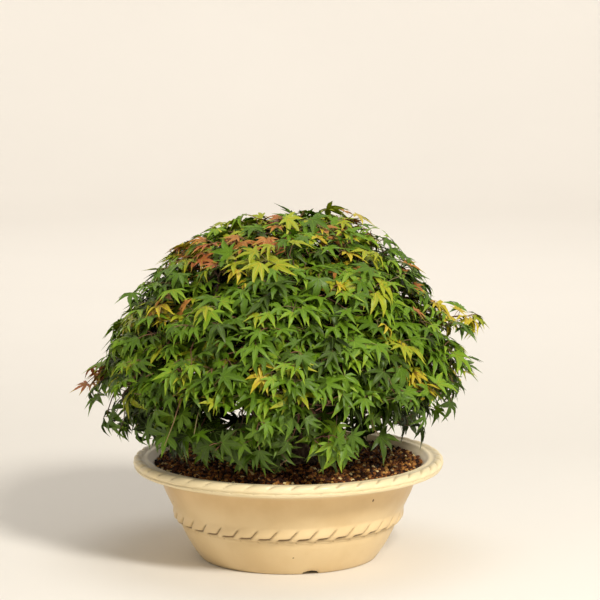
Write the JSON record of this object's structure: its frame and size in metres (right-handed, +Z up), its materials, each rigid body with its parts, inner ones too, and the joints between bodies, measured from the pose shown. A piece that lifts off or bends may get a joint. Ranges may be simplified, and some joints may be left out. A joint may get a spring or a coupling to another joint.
{
  "type": "potted dwarf maple bonsai",
  "caption": "Dome-shaped dwarf maple bonsai with palmate leaves on a short flared trunk, in a round cream-glazed pot with rope mouldings, filled with granular soil.",
  "frame": {"origin": "on the pot's axis at the flat underside of its foot ring, which stands on a level surface", "axes": "+Z up along the pot's axis; +X to the right and -Y towards the viewer, the side where the foot's notch shows"},
  "size_m": [0.3234, 0.301, 0.2726],
  "materials": {
    "glaze": "cream satin glaze with a few dark specks",
    "soil": "loose reddish-brown baked-clay granules, matt",
    "bark": "rough dark bark",
    "leaf": "soft satin leaf"
  },
  "bodies": {
    "root": {"pot": "glaze", "soil": "soil", "trunk": "bark", "bough_side_1": "bark", "bough_side_2": "bark", "bough_side_3": "bark", "bough_side_4": "bark", "bough_side_5": "bark", "bough_side_6": "bark", "bough_side_7": "bark", "bough_top": "bark", "mass_side_1": "leaf", "mass_side_2": "leaf", "mass_side_3": "leaf", "mass_side_4": "leaf", "mass_side_5": "leaf", "mass_side_6": "leaf", "mass_side_7": "leaf", "mass_top": "leaf"}
  },
  "joints": []
}
